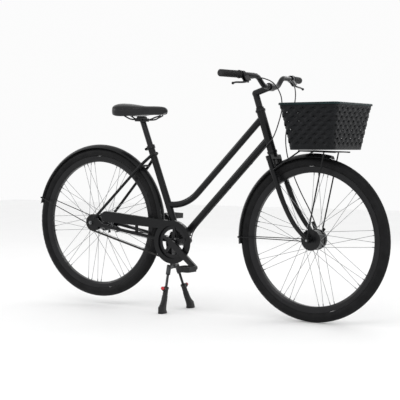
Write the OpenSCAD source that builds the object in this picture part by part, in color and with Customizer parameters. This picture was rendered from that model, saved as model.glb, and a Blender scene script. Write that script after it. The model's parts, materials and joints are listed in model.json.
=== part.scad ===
// Step-through city bicycle held up by a centre-mounted double kickstand.
// Frame: X runs forward, Y to the rider's left, Z up, floor at Z = 0.
// The bicycle is drawn level first; on_bike() then tips it about the front axle so that
// the stand, which is drawn on the floor, holds the rear wheel clear of the ground.

/* [Wheels] */
// Outer radius of both tyres
wheel_r = 357; // [354:1:360]
// Section diameter of the tyres
tyre_d = 47; // [44:1:48]
// Distance between the axles
wheelbase = 1150; // [1144:1:1156]
// Spokes in each wheel
spoke_count = 36; // [28, 32, 36]

/* [Frame] */
// Head tube angle from horizontal
head_angle = 70; // [69.5:0.1:70.5]
// Seat tube angle from horizontal
seat_angle = 67.5; // [67:0.1:68]
// Outer diameter of the seat tube
seat_tube_d = 32; // [31:0.5:33]
// Outer diameter of the down tube
down_tube_d = 34; // [31:0.5:36]
// Outer diameter of the top tube
top_tube_d = 30; // [27:0.5:31]
// Outer diameter of the head tube
head_tube_d = 38; // [36:0.5:40]
// Wall thickness of the main tubes
tube_wall = 1.8; // [1.5:0.1:2]

/* [Fork and handlebar] */
// Forward offset of the front axle from the steering axis
fork_rake = 78; // [74:1:82]
// Length of the stem in front of the steering axis
stem_reach = 80; // [74:1:86]
// Angle by which the grips sweep back
grip_sweep = 12; // [8:1:16]

/* [Drive] */
// Crank arm length
crank_length = 170; // [165:1:172]
// Angle of the right crank below horizontal
crank_angle = 38; // [34:1:42]
// Teeth on the chainring
ring_teeth = 42; // [40:1:42]
// Teeth on the rear sprocket
sprocket_teeth = 18; // [17:1:19]

/* [Stand] */
// Height by which the stand lifts the rear wheel
lift = 40; // [38:1:42]
// Outward angle of each stand leg
splay = 22; // [20:1:23]

/* [Basket] */
// Height of the basket
basket_h = 198; // [190:1:204]
// Wall thickness of the basket
basket_wall = 5; // [4:0.5:6]

/* [Hidden] */

$fn = 64;
sides = [-1, 1];          // right side, left side
seam = 0.05;              // gap left where welded tubes are cut to each other
slip = 0.05;              // radial clearance of a running fit
axle_hole = 5.05;         // bores around the 5 mm radius wheel axles
black = "#18191b";
rubber = "#202123";
steel = "#b9bcc0";

// Placement of the whole bicycle
pitch = asin(lift / wheelbase);
fender_r = wheel_r + 15;              // outer radius of both fenders
rear_fender_end = 169;                // angle of its rear end, bicycle level
rear_reach = fender_r * cos(180 - rear_fender_end - pitch) - wheelbase * (1 - cos(pitch));
centre_x = (wheelbase + wheel_r - rear_reach) / 2;

// Places on the level bicycle, with the rear axle at X = 0
bb_x = 462;
bb_z = 298;
steer_foot = wheelbase - fork_rake / sin(head_angle);   // steering axis at axle height
head_low_z = 731;
head_low_x = steer_foot - (head_low_z - wheel_r) / tan(head_angle);
head_len = 182;
cup_h = 9;
axle_s = -sqrt(pow(wheelbase - head_low_x, 2) + pow(head_low_z - wheel_r, 2)
               - pow(fork_rake, 2));   // front axle, measured along the steering axis
seat_tube_len = 470;
post_len = 608;                        // bottom bracket to the saddle clamp
main_angle = 47.1;                     // slope of the top and down tubes
bar_s = 268;                           // stem height along the steering axis
grip_y = 205;                          // where the straight bar end starts
grip_z = 44;
grip_x = -16;
chain_y = -56;
pitch_len = 12.7;
ring_r = pitch_len / 2 / sin(180 / ring_teeth);
sprocket_r = pitch_len / 2 / sin(180 / sprocket_teeth);
drop_y = 65;                           // inner face of the rear dropouts
stand_x = 414;                         // stand bolt, level bicycle
pivot = [420, 240];                    // stand pivot, level bicycle
lobe_y = 44;
lobe_w = 86;
foot_x = 26;                           // foot ahead of the pivot
pivot_floor = [wheelbase + (pivot[0] - wheelbase) * cos(pitch) + (pivot[1] - wheel_r) * sin(pitch),
               wheel_r - (pivot[0] - wheelbase) * sin(pitch) + (pivot[1] - wheel_r) * cos(pitch)];
lean = atan(foot_x / pivot_floor[1]);

// ---------- paths and shared shapes ----------

function unit(v) = v / norm(v);

function tangent(p, i) =
    i == 0 ? unit(p[1] - p[0])
    : i == len(p) - 1 ? unit(p[i] - p[i - 1])
    : unit(unit(p[i + 1] - p[i]) + unit(p[i] - p[i - 1]));

function ring(c, t, up, r, n) =
    let (a = unit(cross(up, t)), b = cross(t, a))
    [for (k = [0:n - 1]) c + r * (cos(360 * k / n) * a + sin(360 * k / n) * b)];

// Corner points replaced by curves that start a fixed distance before each corner
function rounded(p, cut, n = 6) = [
    p[0],
    for (i = [1:len(p) - 2])
        let (a = p[i] + cut * unit(p[i - 1] - p[i]), c = p[i] + cut * unit(p[i + 1] - p[i]))
        for (j = [0:n]) let (t = j / n)
            (1 - t) * (1 - t) * a + 2 * t * (1 - t) * p[i] + t * t * c,
    p[len(p) - 1],
];

function hermite(a, b, c, d, t) =
    0.5 * (2 * b + (c - a) * t + (2 * a - 5 * b + 4 * c - d) * t * t
           + (3 * b - a - 3 * c + d) * t * t * t);

// One smooth curve through every point
function smooth(p, n = 4) = [
    for (i = [0:len(p) - 2])
        let (a = p[max(i - 1, 0)], d = p[min(i + 2, len(p) - 1)])
        for (j = [0:n - 1]) hermite(a, p[i], p[i + 1], d, j / n),
    p[len(p) - 1],
];

// Round tube along a path, tapering from radius r1 to r2
module sweep(path, r1, r2, n = 16, up = [0, 1, 0]) {
    last = len(path) - 1;
    polyhedron(
        points = [for (i = [0:last])
            each ring(path[i], tangent(path, i), up, r1 + (r2 - r1) * i / last, n)],
        faces = concat(
            [[for (k = [0:n - 1]) k]],
            [for (i = [0:last - 1]) for (k = [0:n - 1])
                [i * n + k, (i + 1) * n + k, (i + 1) * n + (k + 1) % n, i * n + (k + 1) % n]],
            [[for (k = [0:n - 1]) last * n + n - 1 - k]]));
}

// Straight round bar from a to b
module rod(a, b, r, n = 0) {
    d = b - a;
    translate(a)
        rotate([0, acos(d[2] / norm(d)), atan2(d[1], d[0])])
            cylinder(h = norm(d), r = r, $fn = n == 0 ? $fn : n);
}

// Cylinder along Y between two Y values
module across(y1, y2, r, n = 0) {
    translate([0, y1, 0])
        rotate([-90, 0, 0])
            cylinder(h = y2 - y1, r = r, $fn = n == 0 ? $fn : n);
}

// A flat outline drawn in X and Z, given a thickness along Y
module plate_y(y1, y2) {
    translate([0, y2, 0])
        rotate([90, 0, 0])
            linear_extrude(y2 - y1) children();
}

module centred() {
    translate([-centre_x, 0, 0]) children();
}

module on_bike() {
    centred()
        translate([wheelbase, 0, wheel_r])
            rotate([0, pitch, 0])
                translate([-wheelbase, 0, -wheel_r]) children();
}

module at_rear_axle() {
    on_bike() translate([0, 0, wheel_r]) children();
}

module at_front_axle() {
    on_bike() translate([wheelbase, 0, wheel_r]) children();
}

module at_bb() {
    on_bike() translate([bb_x, 0, bb_z]) children();
}

// Along the steering axis: Z up the axis from the lower end of the head tube
module steer() {
    on_bike()
        translate([head_low_x, 0, head_low_z])
            rotate([0, head_angle - 90, 0]) children();
}

// At the handlebar clamp, level with the bicycle
module at_bar() {
    steer()
        translate([stem_reach, 0, bar_s])
            rotate([0, 90 - head_angle, 0]) children();
}

// On the straight end of the bar: Y along the grip, X forward and down in the lever's plane
lever_drop = 52;
module at_grip(side) {
    at_bar()
        translate([grip_x, side * grip_y, grip_z])
            rotate([0, 0, side * grip_sweep])
                rotate([0, lever_drop, 0]) children();
}

// Along the seat tube: Z up the tube from the bottom bracket
module up_seat_tube() {
    at_bb() rotate([0, seat_angle - 90, 0]) children();
}

// At the saddle clamp, level with the bicycle
module at_saddle() {
    up_seat_tube()
        translate([0, 0, post_len])
            rotate([0, 90 - seat_angle, 0]) children();
}

// At the stand's pivot on the floor frame: -Z runs down between the legs
module at_stand() {
    centred()
        translate([pivot_floor[0], 0, pivot_floor[1]])
            rotate([0, -lean, 0]) children();
}

// Along one stand leg: -Z runs down the leg, +Y outward on the left leg
module at_leg(side) {
    at_stand()
        translate([0, side * lobe_y, -lobe_w])
            rotate([side * splay, 0, 0]) children();
}

// ---------- main frame ----------

module head_outer(grow = 0) {
    steer() cylinder(h = head_len, r = head_tube_d / 2 + grow);
}

module seat_outer(grow = 0) {
    up_seat_tube() cylinder(h = seat_tube_len, r = seat_tube_d / 2 + grow);
}

module shell_outer(grow = 0) {
    at_bb() across(-34, 34, 20 + grow);
}

steerer_r = 12.7;
module head_tube() {
    color(black)
    difference() {
        head_outer();
        steer() translate([0, 0, -1]) cylinder(h = head_len + 2, r = head_tube_d / 2 - 2.5);
    }
}

module headset_cups() {
    color(black)
    steer() for (s = [-cup_h, head_len])
        translate([0, 0, s])
            difference() {
                cylinder(h = cup_h, r = head_tube_d / 2 + 3.5);
                translate([0, 0, -1]) cylinder(h = cup_h + 2, r = steerer_r + slip);
            }
}

// The step-through top tube: straight from the head tube, then bent to the horizontal
top_join = [878, 0, 876];
top_bend = [494, 0, 464];
module top_path_tube(r) {
    path = rounded([top_join, top_bend, [400, 0, 464]], 88, 10);
    on_bike() sweep(path, r, r, 24);
}

module top_tube() {
    color(black)
    difference() {
        top_path_tube(top_tube_d / 2);
        top_path_tube(top_tube_d / 2 - tube_wall);
        head_outer(seam);
        seat_outer(seam);
    }
}

// The down tube runs parallel to the top tube into the bottom bracket shell
module down_tube() {
    color(black)
    difference() {
        at_bb() rotate([0, 90 - main_angle, 0]) difference() {
            cylinder(h = 668, r = down_tube_d / 2);
            translate([0, 0, -1]) cylinder(h = 670, r = down_tube_d / 2 - tube_wall);
        }
        head_outer(seam);
        shell_outer(seam);
        seat_outer(seam);
    }
}

module seat_tube() {
    color(black)
    difference() {
        seat_outer();
        up_seat_tube() translate([0, 0, -1])
            cylinder(h = seat_tube_len + 2, r = post_r + slip);
        shell_outer(seam);
    }
}

module bottom_bracket_shell() {
    color(black)
    at_bb() difference() {
        across(-34, 34, 20);
        across(-35, 35, 17);
    }
}

// Chain stays and seat stays with their bridges, one welded rear triangle
chain_stay = [[440, 24, 300], [360, 42, 307], [60, 67.5, 347]];
seat_stay = [[312, 12, 700], [250, 37, 636], [14, 67.5, 378]];
function at_side(p, side) = [for (v = p) [v[0], side * v[1], v[2]]];

module rear_stays() {
    color(black)
    difference() {
        on_bike() {
            for (side = sides) {
                sweep(rounded(at_side(chain_stay, side), 30, 4), 9, 8, 16);
                sweep(rounded(at_side(seat_stay, side), 30, 4), 7.5, 6.5, 16);
            }
            translate([stand_x - 14, -26, 299]) cube([28, 52, 6]);
            translate([256, 0, 638]) across(-36, 36, 5);
        }
        seat_outer(seam);
        shell_outer(seam);
        on_bike() {
            translate([stand_x, 0, 290]) cylinder(h = 24, r = 5.3);
            for (side = sides) dropout_slab(side, seam);
        }
    }
}

// One rear dropout plate, with its axle slot bore and the eyelet for a carrier
eyelet = [-18, 370];
module dropout_slab(side, grow = 0) {
    y = side > 0 ? drop_y : -drop_y - 5;
    plate_y(y - grow, y + 5 + grow) hull() {
        translate([0, wheel_r]) circle(r = 14, $fn = 32);
        translate([62, 346]) circle(r = 9, $fn = 32);
        translate([15, 380]) circle(r = 9, $fn = 32);
        translate(eyelet) circle(r = 8, $fn = 32);
    }
}

module rear_dropouts() {
    color(black)
    on_bike() difference() {
        for (side = sides) dropout_slab(side);
        translate([0, 0, wheel_r]) across(-80, 80, 5.05);
        translate([eyelet[0], 0, eyelet[1]]) across(-80, 80, 2.5);
    }
}

module seat_clamp() {
    color(black)
    up_seat_tube() translate([0, 0, seat_tube_len - 15]) difference() {
        union() {
            cylinder(h = 15, r = seat_tube_d / 2 + 4);
            translate([-30, -8, 2]) cube([16, 16, 11]);
            translate([-24, 0, 7.5]) across(-12, 12, 5);
        }
        translate([0, 0, -1]) cylinder(h = 17, r = seat_tube_d / 2);
        translate([-32, -1, -1]) cube([20, 2, 17]);
    }
}

// ---------- drive ----------

axle_r = 8.5;
module bottom_bracket_bearings() {
    color(steel)
    at_bb() for (y = [-36, 22]) difference() {
        union() {
            across(y < 0 ? y + 2 : y, y < 0 ? y + 14 : y + 12, 17);
            across(y < 0 ? y : y + 12, y < 0 ? y + 2 : y + 14, 18.5);
        }
        across(y - 1, y + 15, axle_r + slip);
    }
}

module crank_axle() {
    color(steel)
    at_bb() union() {
        across(-52, 52, axle_r);
        for (side = sides)
            translate([-6, side > 0 ? 52 : -74, -6]) cube([12, 22, 12]);
    }
}

// Right arm reaches forward and down; the left arm is opposite
arm_in = 66;
arm_out = 80;
module crank_arm(side) {
    at_bb() rotate([0, crank_angle + (side > 0 ? 180 : 0), 0])
    difference() {
        union() {
            hull() {
                across(min(side * arm_in, side * arm_out), max(side * arm_in, side * arm_out),
                    15, 32);
                translate([crank_length, 0, 0])
                    across(min(side * 70, side * 82), max(side * 70, side * 82), 12, 32);
            }
            translate([crank_length, 0, 0])
                across(min(side * 70, side * 186), max(side * 70, side * 186), 5);
            if (side < 0) spider();
        }
        rotate([0, -crank_angle - (side > 0 ? 180 : 0), 0])
            translate([-6, -75, -6]) cube([12, 150, 12]);
    }
}

// Five-armed spider that carries the chainring
module spider() {
    across(-arm_in, -57.3, 20);
    for (i = [0:4]) rotate([0, 72 * i + 20, 0])
        translate([0, -60, -7]) cube([68, 2.7, 14]);
}

module crank_right() {
    color(black) crank_arm(-1);
}

module crank_left() {
    color(black) crank_arm(1);
}

// Outline of a toothed wheel whose teeth reach past the pitch circle
module toothed(teeth, r) {
    root = r - 3.2;
    tip = r + 2.6;
    polygon([for (i = [0:teeth - 1]) for (k = [0:3])
        let (a = 360 * (i + [0, 0.3, 0.5, 0.8][k]) / teeth, q = [root, root, tip, tip][k])
        q * [cos(a), sin(a)]]);
}

module chainring() {
    color(black)
    at_bb() plate_y(chain_y - 1.2, chain_y + 1.2) difference() {
        toothed(ring_teeth, ring_r);
        circle(r = 58);
    }
}

module rear_sprocket() {
    color(black)
    at_rear_axle() difference() {
        union() {
            plate_y(chain_y - 1.2, chain_y + 1.2) toothed(sprocket_teeth, sprocket_r);
            across(chain_y + 1.2, chain_y + 8, 22);
        }
        across(chain_y - 2, chain_y + 9, 12 + slip);
    }
}

// The chain: side plates all round, with pins along the two straight runs
module chain_outline(grow) {
    hull() {
        translate([0, wheel_r]) circle(r = sprocket_r + grow, $fn = 32);
        translate([bb_x, bb_z]) circle(r = ring_r + grow, $fn = 64);
    }
}

centre_dist = norm([bb_x, bb_z - wheel_r]);
run_tilt = asin((ring_r - sprocket_r) / centre_dist);
run_len = centre_dist * cos(run_tilt);
module chain() {
    color(black)
    on_bike() {
        for (y = [chain_y - 3.4, chain_y + 1.9])
            plate_y(y, y + 1.5) difference() {
                chain_outline(3.8);
                chain_outline(-3.8);
            }
        base = atan2(bb_z - wheel_r, bb_x);
        for (side = sides)
            translate([0, 0, wheel_r])
                rotate([0, -base - side * run_tilt, 0])
                    for (i = [3:2:floor(run_len / pitch_len) - 3])
                        translate([i * pitch_len, 0, side * sprocket_r])
                            across(chain_y - 3, chain_y + 3, 2, 12);
    }
}

// Upper band and round front of the guard, with a rim turned in over the chain
module guard_outline(grow) {
    hull() {
        translate([80, 391]) circle(r = 25 + grow, $fn = 40);
        translate([425, 376]) circle(r = 20 + grow, $fn = 40);
    }
    translate([bb_x, bb_z]) circle(r = 99 + grow);
}

module chain_guard() {
    color(black)
    on_bike() difference() {
        union() {
            plate_y(-66, -47) guard_outline(0);
            translate([242, -50, 327]) cube([16, 3, 50]);
        }
        plate_y(-63.5, -46) guard_outline(-2.5);
        translate([bb_x - 140, -63.5, bb_z - 120]) cube([280, 20, 154]);
        translate([bb_x, 0, bb_z]) across(-70, -40, 76);
        translate([48, -63.5, 383]) cube([24, 20, 18]);
    }
}

// ---------- rear wheel ----------

hub_bore = 5.3;
module tyre() {
    rotate([90, 0, 0]) rotate_extrude($fn = 96) difference() {
        translate([wheel_r - tyre_d / 2, 0]) circle(d = tyre_d);
        translate([wheel_r - tyre_d / 2, 0]) circle(d = tyre_d - 8);
        translate([wheel_r - tyre_d - 5, -20]) square([11, 40]);
    }
}

// Double-walled rim with turned-up flanges
rim_in = 289;
module rim() {
    tip = wheel_r - tyre_d + 6;
    rotate([90, 0, 0]) rotate_extrude($fn = 96) difference() {
        polygon([[rim_in, -9], [rim_in, 9], [rim_in + 9, 14], [tip, 15], [tip, 12.5],
                 [tip - 10, 11.5], [tip - 12, 4], [tip - 12, -4], [tip - 10, -11.5],
                 [tip, -12.5], [tip, -15], [rim_in + 9, -14]]);
        polygon([[rim_in + 2, -7], [rim_in + 2, 7], [rim_in + 8, 10], [rim_in + 8, -10]]);
    }
}

// Crossed spokes from two hub flanges to the rim, each with its nipple
module spokes(flange_r, right_y, left_y) {
    pairs = spoke_count / 4;
    for (i = [0:pairs - 1]) for (side = [0, 1]) for (lean_dir = sides) {
        y = (side == 0 ? right_y : left_y) + lean_dir * 2.4;
        a = 360 / pairs * (i + side * 0.25) + lean_dir * 3;
        b = a + lean_dir * 360 / spoke_count * (flange_r > 42 ? 3.5 : 5.5);
        hub = [flange_r * cos(a), y, flange_r * sin(a)];
        far = [rim_in * cos(b), (side == 0 ? -4 : 4), rim_in * sin(b)];
        dir = unit(far - hub);
        rod(hub, far - 0.4 * dir, 1, 16);
        rod(far - 12 * dir, far - 0.4 * dir, 2.1, 16);
    }
}

module hub(shell_r, flange_r, right_y, left_y, right_end, left_end, end_r) {
    difference() {
        union() {
            across(right_y, left_y, shell_r);
            for (y = [right_y, left_y]) across(y - 1.2, y + 1.2, flange_r);
            across(right_end, left_end, end_r);
        }
        across(right_end - 1, left_end + 1, hub_bore);
        across(right_y + 4, left_y - 4, shell_r - 4);
    }
}

front_flange = 46;
rear_flange = 38;
module rear_tyre() {
    color(rubber) at_rear_axle() tyre();
}

module rear_rim() {
    color(black) at_rear_axle() rim();
}

module rear_spokes() {
    color(steel) at_rear_axle() spokes(rear_flange + 1.2, -36, 30);
}

module rear_hub() {
    color(black) at_rear_axle() hub(33, rear_flange, -36, 30, -61, 35, 12);
}

// Axle with nuts and washers outside the dropouts
module axle(half, nut_y) {
    across(-half, half, 5);
    for (side = sides)
        across(min(side * nut_y, side * (nut_y + 8)), max(side * nut_y, side * (nut_y + 8)),
               9, 6);
}

module rear_axle() {
    color(steel) at_rear_axle() axle(84, drop_y + 5.05);
}

// Brake plate on the left of the hub with its reaction arm to the chain stay
module brake_plate(r, y1, y2, arm_angle, arm_len, lever_angle, lever_len) {
    difference() {
        union() {
            across(y1, y2 - 3, r);
            across(y2 - 3, y2, r - 8);
            rotate([0, -arm_angle, 0])
                translate([0, y2 - 3.5, -7]) cube([arm_len, 4, 14]);
            rotate([0, -lever_angle, 0])
                translate([r - 14, y2 - 2, -5]) cube([lever_len, 5, 10]);
        }
        across(y1 - 1, y2 + 1, axle_hole);
    }
}

module rear_brake() {
    color(black) at_rear_axle() brake_plate(44, 36, 58, -24, 96, -75, 26);
}

// ---------- fenders ----------

// Arched strip around the wheel between two angles from forward
module fender_arc(from, to) {
    crown = [for (i = [-5:5]) [fender_r - 0.62 * i * i, 5.4 * i]];
    under = [for (i = [5:-1:-5]) [fender_r - 1.6 - 0.62 * i * i, 5.4 * i]];
    rotate([90, 0, 0])
        rotate([0, 0, from])
            rotate_extrude(angle = to - from, $fn = 96) polygon(concat(crown, under));
}

module rear_fender() {
    color(black) at_rear_axle() fender_arc(-9, rear_fender_end);
}

// Wire stays from the axle ends to the fender edges
module fender_stays(end_y, start, angle) {
    tip_r = fender_r - 13;
    for (side = sides) {
        edge = [tip_r * cos(angle), side * 29.2, tip_r * sin(angle)];
        rod([start[0], side * end_y, start[1]], edge, 2, 16);
        rod(edge - [0, side * 2.1, 0], edge + [0, side * 2.4, 0], 4, 16);
    }
}

module rear_fender_stays() {
    color(black) at_rear_axle() fender_stays(drop_y + 7.2, [-14, -7], 164);
}

module front_fender() {
    color(black) {
        at_front_axle() fender_arc(78, 187);
        steer() translate([-7, -9, -66]) cube([14, 18, 25.7]);
    }
}

module front_fender_stays() {
    color(black) at_front_axle() fender_stays(63.3, [-12, -4], 182);
}

// ---------- fork, stem and handlebar ----------

blade = [[0, 41, -24], [3, 45, -110], [12, 49, -240], [36, 53, -345],
         [fork_rake - 4, 54, axle_s + 5]];
module fork() {
    color(black)
    difference() {
        steer() {
            translate([0, 0, -30]) cylinder(h = head_len + cup_h + 42, r = steerer_r);
            translate([0, 0, head_len + cup_h + 0.4]) cylinder(h = 9, r = 18);
            translate([0, 0, -30]) cylinder(h = 30 - cup_h - 0.4, r = 20);
            translate([-13, -46, -40]) cube([26, 92, 20]);
            for (side = sides) {
                sweep(smooth(at_side(blade, side), 5), 13, 9, 20);
                translate([fork_rake, 0, axle_s])
                    across(min(side * 51, side * 57), max(side * 51, side * 57), 12);
            }
        }
        steer() translate([0, 0, 20]) cylinder(h = 240, r = 11 + slip);
        at_front_axle() across(-80, 80, axle_hole);
        at_front_axle() across(-50.9, 50.9, 16);
        for (side = sides) at_front_axle() across(side > 0 ? 57 : -72, side > 0 ? 72 : -57, 12);
    }
}

module front_axle() {
    color(steel) at_front_axle() axle(70, 57.05);
}

module stem() {
    color(black)
    steer() difference() {
        union() {
            translate([0, 0, 90]) cylinder(h = bar_s - 90, r = 11);
            translate([0, 0, head_len + cup_h + 12.5]) cylinder(h = 54, r = 14.5);
            translate([0, 0, bar_s - 2]) sphere(r = 16);
            translate([0, 0, bar_s]) rotate([0, 90, 0]) cylinder(h = stem_reach - 6, r = 14);
            translate([stem_reach, 0, bar_s]) across(-17, 17, 18);
        }
        translate([stem_reach, 0, bar_s]) across(-20, 20, sleeve_r + slip);
    }
}

sleeve_r = 12.7;
bar_r = 11.1;
bar_end = 146;
module handlebar() {
    color(black)
    at_bar() {
        across(-34, 34, sleeve_r);
        for (side = sides) {
            out = [-sin(grip_sweep), side * cos(grip_sweep), 0];
            start = [grip_x, side * grip_y, grip_z];
            path = rounded([[0, 0, 0], [0, side * 60, 0], [-5, side * 112, grip_z],
                            start - 26 * out, start + bar_end * out], 22, 5);
            sweep(path, bar_r, bar_r, 20, [1, 0, 0]);
        }
    }
}

module grips() {
    color(rubber)
    for (side = sides) at_grip(side)
        difference() {
            union() {
                across(min(side * 30, side * 149), max(side * 30, side * 149), 15.5);
                across(min(side * 30, side * 34), max(side * 30, side * 34), 18);
            }
            across(min(side * 29, side * bar_end), max(side * 29, side * bar_end), bar_r);
        }
}

// Lever perch: a ring on the bar and two ears that hold the lever's pin
lever_x = 30;
lever_y = -6;
lever_tip = 52;           // distance of the blade's end in front of the grip's axis
lever_len = 102;          // and how far it reaches along the grip
module lever_clamps() {
    color(black)
    for (side = sides) at_grip(side) difference() {
        union() {
            across(min(side * 4, side * 20), max(side * 4, side * 20), 16.5);
            for (z = [-9, 5])
                translate([10, side > 0 ? -14 : -16, z]) cube([26, 30, 4]);
            translate([12, side > 0 ? -34 : 8, -5]) cube([8, 26, 10]);
            translate([lever_x, side * lever_y, -9]) cylinder(h = 18, r = 2.5);
        }
        across(-60, 60, bar_r);
        translate([18, side > 0 ? -36 : 6, -5]) cube([20, 30, 10]);
        difference() {
            translate([20.1, side > 0 ? -14.1 : -16.1, -5]) cube([16, 30.2, 10]);
            translate([lever_x, side * lever_y, -9]) cylinder(h = 18, r = 2.5);
        }
    }
}

// Brake lever blade, in the plane of its pin
module brake_lever(side) {
    path = smooth([[lever_x, side * lever_y, 0], [40, side * 16, 0], [44, side * 48, 0],
                   [46, side * 80, 0], [lever_tip, side * lever_len, 0]], 4);
    at_grip(side) difference() {
        union() {
            sweep(path, 4.4, 3.8, 12, [0, 0, 1]);
            translate([lever_x, side * lever_y, -4.6]) cylinder(h = 9.2, r = 6.5);
            translate([lever_tip, side * lever_len, 0]) sphere(r = 6, $fn = 24);
        }
        translate([lever_x, side * lever_y, -6]) cylinder(h = 12, r = 2.5 + slip);
    }
}

module brake_lever_right() {
    color(black) brake_lever(-1);
}

module brake_lever_left() {
    color(black) brake_lever(1);
}

// ---------- front wheel ----------

module front_tyre() {
    color(rubber) at_front_axle() tyre();
}

module front_rim() {
    color(black) at_front_axle() rim();
}

module front_spokes() {
    color(steel) at_front_axle() spokes(front_flange + 1.2, -27, 24);
}

module front_hub() {
    color(black) at_front_axle() hub(43, front_flange, -27, 24, -44, 29, 11);
}

module front_brake() {
    color(black) at_front_axle() brake_plate(44, 30, 46, 112, 80, 60, 26);
}

// ---------- basket ----------

basket_x = 1194;
basket_low = 745;
top_half = [139, 182];
low_half = [104, 146];
corner_r = 26;

module basket_slab(half, z, inset) {
    for (x = sides) for (y = sides)
        translate([x * (half[0] - corner_r), y * (half[1] - corner_r), z])
            cylinder(h = 0.5, r = corner_r - inset, $fn = 32);
}

module at_basket() {
    on_bike() translate([basket_x, 0, basket_low]) rotate([0, -pitch, 0]) children();
}

module basket() {
    color(black)
    at_basket() difference() {
        hull() {
            basket_slab(low_half, 0, 0);
            basket_slab(top_half, basket_h - 12.5, 0);
        }
        hull() {
            basket_slab(low_half, basket_wall, basket_wall);
            basket_slab(top_half, basket_h - 12, basket_wall);
        }
    }
}

module rim_outline(grow) {
    hull() for (x = sides) for (y = sides)
        translate([x * (top_half[0] - corner_r), y * (top_half[1] - corner_r)])
            circle(r = corner_r + grow, $fn = 32);
}

module basket_rim() {
    color("#12383a")
    at_basket() translate([0, 0, basket_h - 12]) linear_extrude(12) difference() {
        rim_outline(3);
        rim_outline(-basket_wall);
    }
}

// Wire carrier: a hoop under the basket, a strut down to each axle end, a fork to the crown
module basket_carrier() {
    z = basket_low - 5.8;
    color(black)
    on_bike() difference() {
        union() {
            for (side = sides) {
                rod([wheelbase + 2, side * 66.8, wheel_r + 9],
                    [wheelbase + 70, side * 70, z - 2], 3.2);
                rod([wheelbase - 52, side * 70, z - 1.5], [wheelbase + 124, side * 70, z - 1.5], 3);
                rod([wheelbase - 46, side * 68, z - 2], [head_low_x + 39, side * 52, 652], 3.4);
                translate([wheelbase, 0, wheel_r])
                    across(min(side * 65.4, side * 69), max(side * 65.4, side * 69), 12);
            }
            for (x = [wheelbase - 40, wheelbase + 30, wheelbase + 110])
                translate([x, 0, z - 1.2]) across(-69, 69, 2.6);
        }
        translate([wheelbase, 0, wheel_r]) across(-80, 80, axle_hole);
    }
}

// ---------- brake cables ----------

cable_r = 2.5;
front_cable = [[915.3, 172.9, 1041.6], [922, 146, 1043], [946, 120, 1042],
               [980, 92, 1024], [1002, 68, 980], [1002, 57, 930],
               [984, 52, 880], [968, 54, 800], [974, 60, 720], [1000, 68, 640],
               [1040, 70, 560], [1090, 68, 480], [1122, 58, 430], [1136, 52, 404]];
rear_cable_loop = [[915.3, -172.9, 1041.6], [922, -146, 1043], [946, -118, 1042],
                   [978, -86, 1022], [997, -56, 972], [996, -42, 915], [980, -34, 860], [956, -30, 800], [930, -26, 766], [906, -23, 742]];
rear_cable = [[905, -22.9, 741], [880, -21, 714], [700, -20, 521], [560, -14, 372],
              [520, 6, 318], [492, 30, 274], [440, 54, 276], [370, 60, 294],
              [240, 72, 312], [120, 70, 318], [84, 60, 316], [56, 52, 310]];

module front_brake_cable() {
    color(rubber) on_bike() sweep(smooth(front_cable, 4), cable_r, cable_r, 8, [1, 0.3, 0]);
}

module rear_brake_cable_loop() {
    color(rubber) on_bike() sweep(smooth(rear_cable_loop, 5), cable_r, cable_r, 8, [1, 0, 0]);
}

module rear_brake_cable() {
    color(rubber) on_bike() sweep(smooth(rear_cable, 4), cable_r, cable_r, 8, [0, 1, 0.2]);
}

// ---------- pedals ----------

module pedal(side) {
    y1 = side > 0 ? 100 : -188;
    at_bb() rotate([0, crank_angle + (side > 0 ? 180 : 0), 0]) translate([crank_length, 0, 0])
        rotate([0, -crank_angle - (side > 0 ? 180 : 0), 0]) difference() {
            union() {
                across(y1, y1 + 88, 10);
                for (x = [-34, 22]) translate([x, y1 + 2, -12]) cube([12, 84, 24]);
                for (y = [y1 + 2, y1 + 40, y1 + 76])
                    translate([-30, y, -9]) cube([60, 10, 18]);
            }
            across(side > 0 ? y1 - 1 : y1 + 1, side > 0 ? y1 + 87 : y1 + 89, 5 + slip);
        }
}

module pedal_right() {
    color(rubber) pedal(-1);
}

module pedal_left() {
    color(rubber) pedal(1);
}

// ---------- seatpost and saddle ----------

post_r = 13.5;
rail_y = 21;
rail_r = 3.5;
module seatpost() {
    color(black)
    difference() {
        union() {
            up_seat_tube() translate([0, 0, post_len - 300]) difference() {
                cylinder(h = 290, r = post_r);
                translate([0, 0, -1]) cylinder(h = 270, r = post_r - 2);
            }
            at_saddle() {
                translate([-20, -29, -16]) cube([40, 58, 16]);
                across(-30, 30, 9);
            }
        }
        at_saddle() for (side = sides)
            rod([-60, side * rail_y, -7], [60, side * rail_y, -7], rail_r + seam);
    }
}

rail = [[-104, 30, 20], [-72, 26, 4], [-40, rail_y, -7], [50, rail_y, -7], [84, 17, 4],
        [112, 9, 14]];
module rails(grow = 0) {
    for (side = sides)
        sweep(smooth(at_side(rail, side), 4), rail_r + grow, rail_r + grow, 12, [0, 1, 0]);
}

module saddle_rails() {
    color(steel) at_saddle() rails();
}

module saddle() {
    color(rubber)
    at_saddle() difference() {
        union() {
            hull() for (side = sides) {
                translate([-112, side * 58, 38]) sphere(r = 29, $fn = 24);
                translate([-60, side * 50, 36]) sphere(r = 26, $fn = 24);
                translate([10, side * 14, 34]) sphere(r = 25, $fn = 24);
            }
            hull() {
                for (side = sides) translate([10, side * 14, 34]) sphere(r = 25, $fn = 24);
                translate([120, 0, 36]) sphere(r = 22, $fn = 24);
            }
        }
        rails(seam);
        translate([-90, -35, -10]) cube([170, 70, 24]);
    }
}

// ---------- double kickstand ----------

module lens(w, d) {
    r = (w * w / 4 + d * d / 4) / d;
    intersection() {
        translate([r - d / 2, 0]) circle(r = r, $fn = 96);
        translate([d / 2 - r, 0]) circle(r = r, $fn = 96);
        square([d, w - 6], center = true);
    }
}

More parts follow.
